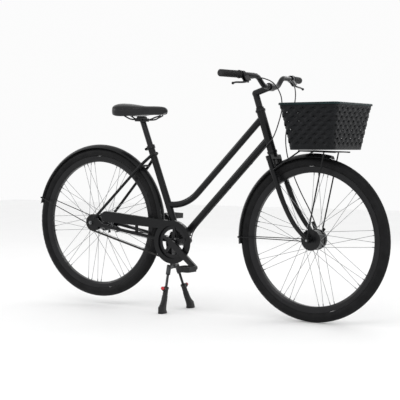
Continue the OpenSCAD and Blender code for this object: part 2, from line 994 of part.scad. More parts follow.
module stand_top_plate() {
    color(black)
    on_bike() translate([stand_x, 0, 312.6]) difference() {
        linear_extrude(5) lens(92, 38);
        translate([0, 0, -1]) cylinder(h = 8, r = 5.3);
    }
}

// Folded sheet housing: clamp flange, front plate and two cheeks that hold the pivot
flange_z = 289;
module stand_bracket() {
    color(black)
    on_bike() difference() {
        union() {
            translate([stand_x, 0, flange_z]) linear_extrude(3.5) lens(84, 38);
            difference() {
                plate_y(-22, 22) polygon([[stand_x - 16, flange_z], [stand_x + 17, flange_z],
                    [pivot[0] + 13, pivot[1] + 4], [pivot[0] - 13, pivot[1] + 4]]);
                translate([pivot[0] - 60, -19, pivot[1] - 30]) cube([70, 38, 76]);
            }
            for (side = sides) translate([pivot[0], 0, pivot[1]])
                across(side > 0 ? 19 : -22, side > 0 ? 22 : -19, 14);
        }
        translate([pivot[0], 0, pivot[1]]) across(-30, 30, 5 + seam);
        translate([stand_x, 0, flange_z - 20]) cylinder(h = 30, r = 5.3);
        translate([pivot[0] - 60, -19, pivot[1] - 30]) cube([68, 38, 30]);
    }
}

// Clamp bolt with its cone washer, and the pivot rivet with two heads
module stand_fasteners() {
    color(black)
    on_bike() {
        translate([stand_x, 0, flange_z]) {
            translate([0, 0, -10.1]) cylinder(h = 7, r = 8.5, $fn = 6);
            translate([0, 0, -10.1]) cylinder(h = 61, r = 5);
            translate([0, 0, 28.7]) cylinder(h = 7, r1 = 13, r2 = 9);
            translate([0, 0, 35.6]) cylinder(h = 9, r = 8);
        }
        translate([pivot[0], 0, pivot[1]]) {
            across(-24, 24, 5);
            for (side = sides) across(side > 0 ? 22.1 : -25, side > 0 ? 25 : -22.1, 8);
        }
    }
}

// Neck strap that forks into two lobes around the rods
module stand_yoke() {
    color("#3a3c3f")
    difference() {
        union() {
            at_stand() {
                across(-18.6, 18.6, 9.5);
                translate([-5, -16, -66]) cube([10, 32, 62]);
                for (side = sides) hull() {
                    translate([-5, side > 0 ? 0 : -16, -70]) cube([10, 16, 12]);
                    translate([0, side * (lobe_y - 8), -lobe_w + 16])
                        rotate([side * splay, 0, 0]) cylinder(h = 8, r = 9, $fn = 32);
                }
            }
            for (side = sides) at_leg(side) translate([0, 0, -10]) cylinder(h = 44, r = 10.5);
        }
        at_stand() {
            across(-30, 30, 5 + slip);
            translate([-20, 0, -58]) rotate([0, 90, 0]) cylinder(h = 40, r = 6);
        }
        for (side = sides) at_leg(side) translate([0, 0, -12]) cylinder(h = 42, r = rod_r);
    }
}

rod_r = 6;
module stand_rods() {
    color(black)
    for (side = sides) at_leg(side)
        translate([0, 0, -106]) cylinder(h = 136, r = rod_r);
}

// Moulded leg: sleeve with collar, button boss, and a foot that flares out to a flat sole
leg_top = -70;
button_t = -84;
module stand_leg(side) {
    difference() {
        union() {
            at_leg(side) {
                translate([0, 0, leg_top - 9]) cylinder(h = 9, r = 12.5);
                translate([0, 0, -150]) cylinder(h = 74, r = 11);
                translate([0, 0, button_t])
                    across(min(0, side * 20), max(0, side * 20), 10);
            }
            hull() {
                at_leg(side) translate([0, 0, -168]) cylinder(h = 32, r = 12.4, $fn = 32);
                centred() translate([pivot_floor[0] + foot_x, side * 108, 0])
                    cylinder(h = 5, r = 15, $fn = 32);
                centred() translate([pivot_floor[0] + foot_x, side * 126, 0])
                    cylinder(h = 4, r = 14, $fn = 32);
            }
        }
        at_leg(side) {
            translate([0, 0, -146]) cylinder(h = 90, r = rod_r + slip);
            translate([0, 0, button_t])
                across(min(side * 8, side * 21), max(side * 8, side * 21), 5 + slip);
        }
        centred() translate([0, 0, -40]) linear_extrude(40) square(2000, center = true);
    }
}

module stand_leg_right() {
    color(black) stand_leg(-1);
}

module stand_leg_left() {
    color(black) stand_leg(1);
}

// Red push button that frees the leg
module button(side) {
    at_leg(side) translate([0, 0, button_t]) {
        across(min(side * 12, side * 24), max(side * 12, side * 24), 5);
        across(min(side * 23, side * 29), max(side * 23, side * 29), 8);
    }
}

module button_right() {
    color("#d5161d") button(-1);
}

module button_left() {
    color("#d5161d") button(1);
}

head_tube();
top_tube();
down_tube();
seat_tube();
bottom_bracket_shell();
rear_stays();
rear_dropouts();
headset_cups();
seat_clamp();
bottom_bracket_bearings();
chain_guard();
chain();
rear_axle();
rear_brake();
rear_fender();
rear_fender_stays();
stand_top_plate();
stand_bracket();
stand_fasteners();
rear_brake_cable();
fork();
front_axle();
front_brake();
front_fender();
front_fender_stays();
stem();
handlebar();
grips();
lever_clamps();
basket();
basket_rim();
basket_carrier();
front_brake_cable();
rear_brake_cable_loop();
brake_lever_right();
brake_lever_left();
front_tyre();
front_rim();
front_spokes();
front_hub();
rear_tyre();
rear_rim();
rear_spokes();
rear_hub();
rear_sprocket();
crank_axle();
crank_right();
crank_left();
chainring();
pedal_right();
pedal_left();
seatpost();
saddle();
saddle_rails();
stand_yoke();
stand_rods();
stand_leg_right();
stand_leg_left();
button_right();
button_left();
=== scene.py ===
import bmesh
import bpy
import json
import math
from mathutils import Matrix, Vector


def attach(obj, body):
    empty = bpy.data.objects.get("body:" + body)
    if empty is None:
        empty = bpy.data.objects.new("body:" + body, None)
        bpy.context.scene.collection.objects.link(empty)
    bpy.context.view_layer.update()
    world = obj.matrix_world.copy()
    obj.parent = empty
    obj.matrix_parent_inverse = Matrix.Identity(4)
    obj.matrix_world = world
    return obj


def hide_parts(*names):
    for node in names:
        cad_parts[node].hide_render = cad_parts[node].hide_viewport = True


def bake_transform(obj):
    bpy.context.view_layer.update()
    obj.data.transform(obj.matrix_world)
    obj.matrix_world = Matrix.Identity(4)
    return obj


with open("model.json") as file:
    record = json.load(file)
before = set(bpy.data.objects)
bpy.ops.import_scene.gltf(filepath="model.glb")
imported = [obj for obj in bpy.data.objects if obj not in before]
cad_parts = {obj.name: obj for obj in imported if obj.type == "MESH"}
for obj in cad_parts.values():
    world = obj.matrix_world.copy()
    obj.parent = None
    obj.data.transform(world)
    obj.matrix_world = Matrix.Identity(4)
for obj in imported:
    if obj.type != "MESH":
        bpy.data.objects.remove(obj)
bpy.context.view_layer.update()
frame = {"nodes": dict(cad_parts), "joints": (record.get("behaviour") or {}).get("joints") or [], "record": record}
MM = 0.001
SIDES = {"right": -1, "left": 1}
joint = {j["name"]: j for j in frame["joints"]}


# ---------- places, in the bicycle's own millimetres ----------

def place(name):
    """Where a joint's axis is, at rest."""
    return Vector(joint[name]["pos_m"])


def direction(name):
    """The way a joint's axis points, at rest."""
    return Vector(joint[name]["axis"]).normalized()


WHEEL_R = 357
TYRE_R = 23.5
REAR_AXLE = place("rear_wheel_spin")
FRONT_AXLE = place("front_wheel_spin")
FORWARD = (FRONT_AXLE - REAR_AXLE).normalized()
LEFT = Vector((0, 1, 0))
UP = FORWARD.cross(LEFT).normalized()


def bike(x, y, z):
    """A place on the level bicycle, X from the rear axle and Z from the ground."""
    return REAR_AXLE + MM * (x * FORWARD + y * LEFT + (z - WHEEL_R) * UP)


def bike_dir(x, y, z):
    """A direction given in the level bicycle's own axes."""
    return (x * FORWARD + y * LEFT + z * UP).normalized()


STEER_UP = direction("steering")
STEER_AHEAD = LEFT.cross(STEER_UP).normalized()
STEM_REACH, STEM_HEIGHT = 80, 268
BAR = place("steering") + MM * (STEM_REACH * STEER_AHEAD + STEM_HEIGHT * STEER_UP)
GRIP_SWEEP = math.radians(12)
LEVER_DROP = math.radians(52)
GRIP_START = (-16, 205, 44)


def grip_axes(side):
    """Forward-down, along the grip to the left, and the lever pin's direction."""
    turn = Matrix.Rotation(side * GRIP_SWEEP, 3, "Z") @ Matrix.Rotation(LEVER_DROP, 3, "Y")
    return [bike_dir(*turn.col[i]) for i in range(3)]


def on_grip(side, x, y, z):
    """A place on one grip, in the directions that grip_axes gives."""
    start = BAR + MM * (GRIP_START[0] * FORWARD + side * GRIP_START[1] * LEFT + GRIP_START[2] * UP)
    ax, ay, az = grip_axes(side)
    return start + MM * (x * ax + y * ay + z * az)


SEAT_UP = direction("seatpost_slide")
POST_TOP = 608
SADDLE = place("crank_spin") + POST_TOP * MM * SEAT_UP
PIVOT = place("stand_fold")
FOOT_AHEAD = 26          # how far the feet rest in front of the stand's pivot
LOBE_Y, LOBE_DROP = 44, 86   # where each rod leaves the yoke
SPLAY = math.radians(22)
LEAN = math.atan(FOOT_AHEAD * MM / PIVOT.z)


def on_leg(side, x, y, z):
    """Along one stand leg: Z up the leg from its lobe, Y to the left."""
    turn = Matrix.Rotation(-LEAN, 3, "Y")
    lobe = PIVOT + turn @ (MM * Vector((0, side * LOBE_Y, -LOBE_DROP)))
    return lobe + turn @ (Matrix.Rotation(side * SPLAY, 3, "X") @ (MM * Vector((x, y, z))))


# ---------- camera and light ----------

scene = bpy.context.scene
CAMERA_AT = Vector((2.968, -4.645, 0.747))
LOOK_AT = Vector((0.0, 0.0, 0.515))
camera = bpy.data.objects.new("camera", bpy.data.cameras.new("camera"))
camera.data.lens = 109
camera.data.sensor_width = 36
camera.location = CAMERA_AT
camera.rotation_euler = (LOOK_AT - CAMERA_AT).to_track_quat("-Z", "Y").to_euler()
scene.collection.objects.link(camera)
scene.camera = camera


def area_light(name, at, size, power, target=(0, 0, 0.5)):
    """A soft rectangular light, aimed at the target."""
    light = bpy.data.lights.new(name, "AREA")
    light.shape = "RECTANGLE"
    light.size, light.size_y = size
    light.energy = power
    lamp = bpy.data.objects.new(name, light)
    lamp.location = at
    lamp.rotation_euler = (Vector(target) - Vector(at)).to_track_quat("-Z", "Y").to_euler()
    scene.collection.objects.link(lamp)


area_light("key", (1.2, -3.6, 3.4), (3.2, 0.3), 34)
area_light("side", (-3.6, -1.6, 2.2), (2.0, 0.3), 18)
area_light("front", (4.4, -0.4, 1.6), (0.4, 1.6), 18)
area_light("back", (0.2, 3.6, 2.6), (3.4, 0.3), 16)

world = bpy.data.worlds.new("studio")
world.use_nodes = True
world.node_tree.nodes["Background"].inputs["Color"].default_value = (1, 1, 1, 1)
world.node_tree.nodes["Background"].inputs["Strength"].default_value = 0.97
scene.world = world
scene.view_settings.view_transform = "Standard"


# ---------- materials ----------

def node(tree, kind, **settings):
    """Adds a shader node and sets its inputs, or its own settings, by name."""
    made = tree.nodes.new(kind)
    for key, value in settings.items():
        if key in made.inputs:
            made.inputs[key].default_value = value
        else:
            setattr(made, key, value)
    return made


def finish(name, colour, rough, metal=0.0, coat=0.0, spec=0.5, grain=(900, 0.05),
           mottle=(14, 0.25), rough_span=0.08, scuff=0.0, scuff_colour=(0.3, 0.3, 0.3),
           pattern="noise"):
    """One procedural material: colour variation, roughness variation, grain and scuffs.

    mottle is the scale and depth of the colour variation, and grain that of the bump."""
    material = bpy.data.materials.new(name)
    material.use_nodes = True
    tree = material.node_tree
    shader = tree.nodes["Principled BSDF"]
    shader.inputs["Metallic"].default_value = metal
    shader.inputs["Specular IOR Level"].default_value = spec
    shader.inputs["Coat Weight"].default_value = coat
    shader.inputs["Coat Roughness"].default_value = 0.12
    place_at = node(tree, "ShaderNodeTexCoord").outputs["Object"]

    blotch = node(tree, "ShaderNodeTexNoise", Scale=mottle[0], Detail=5.0)
    tree.links.new(place_at, blotch.inputs["Vector"])
    ramp = node(tree, "ShaderNodeValToRGB")
    tree.links.new(blotch.outputs["Fac"], ramp.inputs["Fac"])
    dark, light = 1 - mottle[1], 1 + mottle[1]
    ramp.color_ramp.elements[0].position = 0.3
    ramp.color_ramp.elements[0].color = (*[c * dark for c in colour], 1)
    ramp.color_ramp.elements[1].position = 0.7
    ramp.color_ramp.elements[1].color = (*[min(1, c * light) for c in colour], 1)
    colour_out = ramp.outputs["Color"]
    if scuff:
        marks = node(tree, "ShaderNodeTexNoise", Scale=55.0, Detail=8.0, Roughness=0.75)
        tree.links.new(place_at, marks.inputs["Vector"])
        mask = node(tree, "ShaderNodeMapRange")
        mask.inputs["From Min"].default_value = 0.62
        mask.inputs["From Max"].default_value = 0.75
        mask.inputs["To Max"].default_value = scuff
        tree.links.new(marks.outputs["Fac"], mask.inputs["Value"])
        mix = node(tree, "ShaderNodeMix", data_type="RGBA")
        tree.links.new(mask.outputs["Result"], mix.inputs["Factor"])
        tree.links.new(colour_out, mix.inputs[6])
        mix.inputs[7].default_value = (*scuff_colour, 1)
        colour_out = mix.outputs[2]
    tree.links.new(colour_out, shader.inputs["Base Color"])

    smear = node(tree, "ShaderNodeTexNoise", Scale=mottle[0] * 3.1, Detail=6.0)
    tree.links.new(place_at, smear.inputs["Vector"])
    span = node(tree, "ShaderNodeMapRange")
    span.inputs["To Min"].default_value = max(0.02, rough - rough_span)
    span.inputs["To Max"].default_value = min(1.0, rough + rough_span)
    tree.links.new(smear.outputs["Fac"], span.inputs["Value"])
    tree.links.new(span.outputs["Result"], shader.inputs["Roughness"])

    grain_at = place_at
    if pattern == "brushed":
        stretch = node(tree, "ShaderNodeMapping")
        stretch.inputs["Scale"].default_value = (1, 14, 1)
        tree.links.new(place_at, stretch.inputs["Vector"])
        grain_at = stretch.outputs["Vector"]
    if pattern == "cells":
        fine = node(tree, "ShaderNodeTexVoronoi", Scale=grain[0])
        height = fine.outputs["Distance"]
    else:
        fine = node(tree, "ShaderNodeTexNoise", Scale=grain[0], Detail=3.0)
        height = fine.outputs["Fac"]
    tree.links.new(grain_at, fine.inputs["Vector"])
    bump = node(tree, "ShaderNodeBump", Strength=grain[1], Distance=0.001)
    tree.links.new(height, bump.inputs["Height"])
    tree.links.new(bump.outputs["Normal"], shader.inputs["Normal"])
    return material


MATERIALS = {
    "satin_black_paint": finish("satin_black_paint", (0.006, 0.0062, 0.0068), 0.3, coat=0.12,
                                spec=0.13, grain=(1400, 0.10), mottle=(9, 0.2), scuff=0.04),
    "black_hardware": finish("black_hardware", (0.006, 0.006, 0.007), 0.3, metal=0.1, spec=0.28,
                             grain=(1100, 0.10), mottle=(20, 0.25), scuff=0.06),
    "bright_steel": finish("bright_steel", (0.24, 0.245, 0.25), 0.3, metal=1.0,
                           grain=(700, 0.12), mottle=(40, 0.15), pattern="brushed"),
    "chain_steel": finish("chain_steel", (0.03, 0.029, 0.028), 0.38, metal=0.7, spec=0.3,
                          grain=(600, 0.25), mottle=(120, 0.5), scuff=0.2,
                          scuff_colour=(0.12, 0.1, 0.08)),
    "tyre_rubber": finish("tyre_rubber", (0.008, 0.008, 0.0085), 0.5, spec=0.1,
                          grain=(1800, 0.35), mottle=(30, 0.3), scuff=0.1,
                          scuff_colour=(0.035, 0.034, 0.032)),
    "grip_rubber": finish("grip_rubber", (0.012, 0.012, 0.0125), 0.55, spec=0.25,
                          grain=(1500, 0.4), mottle=(60, 0.25), pattern="cells"),
    "saddle_vinyl": finish("saddle_vinyl", (0.006, 0.006, 0.007), 0.36, coat=0.15, spec=0.25,
                           grain=(520, 0.3), mottle=(18, 0.25), pattern="cells"),
    "pedal_plastic": finish("pedal_plastic", (0.01, 0.01, 0.011), 0.5, spec=0.25,
                            grain=(1300, 0.3), mottle=(35, 0.3), scuff=0.3,
                            scuff_colour=(0.05, 0.05, 0.05)),
    "cable_housing": finish("cable_housing", (0.012, 0.012, 0.013), 0.27, spec=0.35,
                            grain=(1500, 0.12), mottle=(50, 0.2)),
    "basket_weave": finish("basket_weave", (0.006, 0.0065, 0.0075), 0.36, spec=0.13,
                           grain=(420, 0.5), mottle=(70, 0.45), scuff=0.06,
                           pattern="brushed"),
    "basket_trim": finish("basket_trim", (0.002, 0.013, 0.0135), 0.35, spec=0.2,
                          grain=(800, 0.2), mottle=(20, 0.25), scuff=0.04),
    "stand_black": finish("stand_black", (0.006, 0.006, 0.007), 0.27, coat=0.15, spec=0.25,
                          grain=(900, 0.06), mottle=(40, 0.2), scuff=0.04),
    "yoke_grey": finish("yoke_grey", (0.035, 0.036, 0.038), 0.34, metal=0.6, spec=0.4,
                        grain=(1200, 0.2), mottle=(60, 0.2)),
    "leg_plastic": finish("leg_plastic", (0.007, 0.007, 0.0075), 0.4, spec=0.3,
                          grain=(1500, 0.35), mottle=(40, 0.2), scuff=0.1,
                          scuff_colour=(0.05, 0.05, 0.05)),
    "button_red": finish("button_red", (0.42, 0.005, 0.01), 0.25, coat=0.3, spec=0.4,
                         grain=(900, 0.06), mottle=(60, 0.15)),
}

for part in frame["record"]["subparts"]:
    cad = frame["nodes"][part["node"]]
    cad.data.materials.clear()
    cad.data.materials.append(MATERIALS[part["material_slot"]])

floor_mat = finish("floor_white", (0.92, 0.92, 0.92), 0.7, grain=(60, 0.02), mottle=(2, 0.01))
FLOOR_HALF = 9
mesh = bpy.data.meshes.new("floor")
mesh.from_pydata([(-FLOOR_HALF, -FLOOR_HALF, 0), (FLOOR_HALF, -FLOOR_HALF, 0),
                  (FLOOR_HALF, FLOOR_HALF, 0), (-FLOOR_HALF, FLOOR_HALF, 0)], [], [(0, 1, 2, 3)])
floor = bpy.data.objects.new("floor", mesh)
floor.data.materials.append(floor_mat)
floor.location.z = -0.0005
scene.collection.objects.link(floor)


# ---------- mesh tools ----------

SHARP = math.radians(38)


class Shape:
    """Vertices and faces gathered for one piece."""

    def __init__(self):
        self.points = []
        self.faces = []

    def grid(self, rows, close_rows=False, close_ring=True, caps=False):
        """Joins rows of points into quads."""
        base = len(self.points)
        n = len(rows[0])
        for row in rows:
            self.points.extend(row)
        count = len(rows)
        for i in range(count if close_rows else count - 1):
            a, b = base + i * n, base + (i + 1) % count * n
            for k in range(n if close_ring else n - 1):
                k2 = (k + 1) % n
                self.faces.append((a + k, a + k2, b + k2, b + k))
        if caps:
            self.faces.append(tuple(base + k for k in reversed(range(n))))
            last = base + (count - 1) * n
            self.faces.append(tuple(last + k for k in range(n)))

    def tube(self, path, radius, sides=10, closed=False, flat=1.0, normals=None):
        """A round or flattened tube along a path; radius is a number or a function of 0 to 1."""
        count = len(path)
        ahead = []
        for i in range(count):
            before = path[i - 1] if i or closed else path[0]
            after = path[(i + 1) % count] if i < count - 1 or closed else path[-1]
            ahead.append((after - before).normalized())
        side = normals[0] if normals else ahead[0].orthogonal().normalized()
        rows = []
        for i, t in enumerate(ahead):
            if normals:
                side = normals[i]
            side = (side - side.dot(t) * t).normalized()
            other = t.cross(side)
            r = radius(i / max(1, count - 1)) if callable(radius) else radius
            ring = []
            for k in range(sides):
                a = 2 * math.pi * k / sides
                ring.append(path[i] + r * (flat * math.cos(a) * side + math.sin(a) * other))
            rows.append(ring)
        self.grid(rows, close_rows=closed, caps=not closed)

    def lathe(self, origin, axis, profile, sides=32, caps=True):
        """Turns (along, radius) pairs about an axis."""
        axis = axis.normalized()
        u = axis.orthogonal().normalized()
        v = axis.cross(u)
        rows = []
        for along, r in profile:
            rows.append([origin + MM * (along * axis
                                        + r * (math.cos(2 * math.pi * k / sides) * u
                                               + math.sin(2 * math.pi * k / sides) * v))
                         for k in range(sides)])
        self.grid(rows, caps=caps)

    def make(self, name, slot, body, replaces=(), sharp=SHARP):
        """Links the piece, gives it its slot's material, puts it on its body and hides the CAD nodes it replaces.
        """
        mesh = bpy.data.meshes.new(name)
        mesh.from_pydata([tuple(p) for p in self.points], [], self.faces)
        edit = bmesh.new()
        edit.from_mesh(mesh)
        bmesh.ops.remove_doubles(edit, verts=edit.verts, dist=1e-7)
        bmesh.ops.recalc_face_normals(edit, faces=edit.faces)
        for face in edit.faces:
            face.smooth = True
        for edge in edit.edges:
            edge.smooth = edge.calc_face_angle(0) < sharp
        edit.to_mesh(mesh)
        edit.free()
        piece = bpy.data.objects.new(name, mesh)
        piece.data.materials.append(MATERIALS[slot])
        scene.collection.objects.link(piece)
        if body:
            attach(piece, body)
        if replaces:
            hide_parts(*replaces)
        return piece


def curve(points, steps=6):
    """A smooth line through every point."""
    line = []
    for i in range(len(points) - 1):
        a = points[max(i - 1, 0)]
        b, c = points[i], points[i + 1]
        d = points[min(i + 2, len(points) - 1)]
        for j in range(steps):
            t = j / steps
            line.append(0.5 * (2 * b + (c - a) * t + (2 * a - 5 * b + 4 * c - d) * t * t
                               + (3 * b - a - 3 * c + d) * t ** 3))
    line.append(points[-1])
    return line


def blend_values(table, x):
    """Smooth value at x from a short list of (x, value) pairs."""
    x = min(max(x, table[0][0]), table[-1][0])
    i = max(k for k in range(len(table) - 1) if table[k][0] <= x)

    def slope(k):
        (xa, va), (xb, vb) = table[max(k - 1, 0)], table[min(k + 1, len(table) - 1)]
        return (vb - va) / (xb - xa)

    (x0, v0), (x1, v1) = table[i], table[i + 1]
    w = x1 - x0
    t = (x - x0) / w
    return ((2 * t ** 3 - 3 * t ** 2 + 1) * v0 + (t ** 3 - 2 * t ** 2 + t) * w * slope(i)
            + (3 * t ** 2 - 2 * t ** 3) * v1 + (t ** 3 - t ** 2) * w * slope(i + 1))


# ---------- tyres ----------

TREAD_BLOCKS = 96
TREAD_H = 0.9
TYRE_INSIDE_R = 18.5


def tread(turn, lean):
    """Height of the rubber above the casing, in mm, at a turn of the wheel and a lean
    in degrees round the section."""
    a = abs(lean)
    side = 0.5 if lean > 0 else 0
    phase = turn * TREAD_BLOCKS
    if a < 8:
        wave = 2.0 * math.sin(2 * math.pi * phase)
        return TREAD_H if a < 6 + wave else 0.0
    if a < 24:
        return TREAD_H if 10 < a < 23 and (phase + side + a / 60) % 1 > 0.2 else 0.0
    if a < 42:
        return 0.8 if 26 < a < 41 and (phase + 0.5 + side - a / 70) % 1 > 0.28 else 0.0
    if a < 46:
        return 0.35
    return 0.25 if 62 < a < 64 or 96 < a < 98 or 118 < a < 121 else 0.0


def tyre(name, axle, body):
    """The tread and sidewalls with the inside of the casing, as one closed ring."""
    leans = [-138, -130, -122, -121, -118, -117, -108, -98, -97.5, -96, -95, -85, -75,
             -64.5, -64, -62, -61.5, -54, -46.5, -46, -42, -41, -40.5, -34, -26.5, -26,
             -24, -23, -22.5, -16, -10.5, -10, -8, -6, -4, 0]
    leans = leans + [-v for v in reversed(leans[:-1])]
    steps = TREAD_BLOCKS * 6
    centre = WHEEL_R - TYRE_R
    rows = []
    for i in range(steps):
        a = 2 * math.pi * i / steps
        out = math.cos(a) * FORWARD + math.sin(a) * UP
        ring = []
        for lean in leans:
            r = TYRE_R - TREAD_H + tread(i / steps, lean)
            c, s = math.cos(math.radians(lean)), math.sin(math.radians(lean))
            ring.append(axle + MM * ((centre + r * c) * out + r * s * LEFT))
        for lean in (130, 90, 0, -90, -130):
            c, s = math.cos(math.radians(lean)), math.sin(math.radians(lean))
            ring.append(axle + MM * ((centre + TYRE_INSIDE_R * c) * out
                                     + TYRE_INSIDE_R * s * LEFT))
        rows.append(ring)
    shape = Shape()
    shape.grid(rows, close_rows=True)
    shape.make(name + "_tread", "tyre_rubber", body, replaces=[name], sharp=math.radians(30))


tyre("front_tyre", FRONT_AXLE, "front_wheel")
tyre("rear_tyre", REAR_AXLE, "rear_wheel")


# ---------- chain ----------

CHAIN_Y = -56
LINK = 12.7
RING_TEETH, SPROCKET_TEETH = 42, 18
PLATE_R, PLATE_T = 3.9, 0.9
RING_R = LINK / 2 / math.sin(math.pi / RING_TEETH)
SPROCKET_R = LINK / 2 / math.sin(math.pi / SPROCKET_TEETH)
BB = place("crank_spin")
BB_X = (BB - REAR_AXLE).dot(FORWARD) / MM
BB_Z = (BB - REAR_AXLE).dot(UP) / MM


def chain_line():
    """The closed pitch line of the chain, as points a small step apart, from the rear axle."""
    gap = math.hypot(BB_X, BB_Z)
    base = math.atan2(BB_Z, BB_X)
    tilt = math.asin((RING_R - SPROCKET_R) / gap)
    top = base + math.pi / 2 + tilt
    low = base - math.pi / 2 - tilt
    line = []
    for k in range(41):
        a = top + (2 * math.pi - (top - low)) * k / 40
        line.append((SPROCKET_R * math.cos(a), SPROCKET_R * math.sin(a)))
    for k in range(81):
        a = low + (top - low) * k / 80
        line.append((BB_X + RING_R * math.cos(a), BB_Z + RING_R * math.sin(a)))
    line.append(line[0])
    return line


def walk(line, count):
    """Evenly spaced points round a closed line."""
    lengths = [math.dist(a, b) for a, b in zip(line, line[1:])]
    total = sum(lengths)
    spots, i, done = [], 0, 0.0
    for k in range(count):
        want = total * k / count
        while done + lengths[i] < want:
            done += lengths[i]
            i += 1
        t = (want - done) / lengths[i]
        a, b = line[i], line[i + 1]
        spots.append((a[0] + (b[0] - a[0]) * t, a[1] + (b[1] - a[1]) * t))
    return spots


def chain():
    """Inner and outer links in turn, each of two rounded plates, and a pin at every joint."""
    line = chain_line()
    total = sum(math.dist(a, b) for a, b in zip(line, line[1:]))
    pins = walk(line, 2 * round(total / LINK / 2))
    shape = Shape()

    def spot(x, z, y):
        return REAR_AXLE + MM * (x * FORWARD + z * UP + y * LEFT)

    for i, (x0, z0) in enumerate(pins):
        x1, z1 = pins[(i + 1) % len(pins)]
        a = math.atan2(z1 - z0, x1 - x0)
        outer = i % 2
        for side in (-1, 1):
            near = CHAIN_Y + side * (2.6 if outer else 1.6)
            outline = []
            for k in range(14):
                end = k < 7
                b = a + (math.pi / 2 + math.pi * k / 6 if end else
                         -math.pi / 2 + math.pi * (k - 7) / 6)
                cx, cz = (x0, z0) if end else (x1, z1)
                outline.append((cx + PLATE_R * math.cos(b), cz + PLATE_R * math.sin(b)))
            shape.grid([[spot(x, z, near) for x, z in outline],
                        [spot(x, z, near + side * PLATE_T) for x, z in outline]], caps=True)
        shape.lathe(spot(x0, z0, CHAIN_Y - 3.9), LEFT,
                    [(0, 1.5), (0.3, 1.8), (7.5, 1.8), (7.8, 1.5)], sides=10)
    shape.make("chain_links", "chain_steel", "frame", replaces=["chain"])


chain()


# ---------- saddle ----------

SADDLE_BACK, SADDLE_LENGTH = -142, 285
# Across the saddle, from 0 on the middle line to 1 at the lower edge of the skirt
SHOULDER = 0.72
PIPING_AT, TROUGH_AT, STITCH_AT = 0.70, 0.64, 0.665
# Share of the height that the top has lost at the shoulder
TOP_DROP = 0.42
# Half width, and the heights of the crest and the skirt, against the place along the saddle
WIDTH = [(-142, 3), (-140, 26), (-134, 50), (-120, 73), (-96, 86), (-66, 82), (-30, 61), (8, 41),
         (45, 30), (95, 25), (122, 20), (134, 14), (141, 6), (143, 1)]
CREST = [(-142, 38), (-140, 46), (-132, 57), (-116, 64), (-92, 67), (-50, 64), (10, 58), (80, 57),
         (116, 55), (130, 51), (139, 43), (143, 35)]
SKIRT = [(-142, 34), (-138, 24), (-118, 13), (-76, 6), (-20, 10), (40, 16), (100, 17), (128, 21),
         (139, 28), (143, 33)]


def saddle_point(x, u):
    """u runs from -1 at the right skirt, over the top, to 1 at the left skirt."""
    half, crest, skirt = (blend_values(t, x) for t in (WIDTH, CREST, SKIRT))
    a = abs(u)
    side = math.copysign(1, u) if u else 0
    if a < SHOULDER:
        t = a / SHOULDER
        y = half * math.sin(t * math.pi / 2)
        drop = (crest - skirt) * TOP_DROP * (1 - math.cos(t * math.pi / 2)) ** 1.15
        z = crest - drop
    else:
        t = (a - SHOULDER) / (1 - SHOULDER)
        y = half * (1 + 0.035 * math.sin(t * math.pi)) - 2.5 * t * t
        z = crest - (crest - skirt) * (TOP_DROP + (1 - TOP_DROP) * t)
    middle = max(0, 1 - ((x + 20) / 95) ** 2)
    channel = 2.4 * math.exp(-(y / 9) ** 2) * middle
    piping = math.exp(-((a - PIPING_AT) / 0.022) ** 2) * 1.1
    trough = math.exp(-((a - TROUGH_AT) / 0.018) ** 2) * 1.3
    return side * (abs(y) + piping), z - channel - trough


def saddle():
    """The padded cover with its underside, and a row of stitches along each seam."""
    count = 72
    stations = [SADDLE_BACK + SADDLE_LENGTH * (0.5 - 0.5 * math.cos(math.pi * i / count))
                for i in range(count + 1)]
    across = [k / 44 for k in range(-44, 45)]
    shape = Shape()

    def spot(x, y, z):
        return SADDLE + MM * (x * FORWARD + y * LEFT + z * UP)

    rows = []
    for x in stations:
        top = [saddle_point(x, u) for u in across]
        row = [spot(x, y, z) for y, z in top]
        y_end, z_end = top[-1]
        row += [spot(x, y_end * s, z_end + 3 - 2 * abs(s)) for s in (0.9, 0.45, 0, -0.45, -0.9)]
        rows.append(row)
    shape.grid(rows, caps=True)
    cover = shape.make("saddle_cover", "saddle_vinyl", "seatpost", replaces=["saddle"],
                       sharp=math.radians(70))

    stitches = Shape()
    stitch, step = 3.6, 6
    for side in (-1, 1):
        for x in range(-122, 126, step):
            (y0, z0), (y1, z1) = (saddle_point(x + d, side * STITCH_AT) for d in (0, stitch))
            path = [spot(x, y0, z0 + 0.2),
                    spot(x + stitch / 2, (y0 + y1) / 2, (z0 + z1) / 2 + 0.7),
                    spot(x + stitch, y1, z1 + 0.2)]
            stitches.tube(path, 0.45 * MM, sides=6)
    stitches.make("saddle_stitches", "grip_rubber", "seatpost")


saddle()


# ---------- basket ----------

BASKET_BASE = bike(1194, 0, 745)
BASKET_H = 198
LOW_HALF, TOP_HALF = (104, 146), (139, 182)
CORNER = 26
HALF_WALL = 2.5
LEVEL_X, LEVEL_Z = Vector((1, 0, 0)), Vector((0, 0, 1))


def round_rect(half_x, half_y, r, turn):
    """Point and outward direction at a turn from 0 to 1 round a rounded rectangle."""
    sx, sy, arc = half_x - r, half_y - r, math.pi * r / 2
    legs = [2 * sy, arc, 2 * sx, arc, 2 * sy, arc, 2 * sx, arc]
    d = (turn % 1) * sum(legs)
    corners = [(1, 1), (-1, 1), (-1, -1), (1, -1)]
    heading = [(1, 0), (0, 1), (-1, 0), (0, -1)]
    for i, leg in enumerate(legs):
        if d <= leg:
            break
        d -= leg
    q = i // 2
    nx, ny = heading[q]
    cx, cy = corners[q][0] * sx, corners[q][1] * sy
    if i % 2 == 0:
        px, py = corners[q - 1][0] * sx, corners[q - 1][1] * sy
        t = d / leg
        return (px + (cx - px) * t + nx * r, py + (cy - py) * t + ny * r), (nx, ny)
    a = math.atan2(ny, nx) + d / r
    return (cx + r * math.cos(a), cy + r * math.sin(a)), (math.cos(a), math.sin(a))


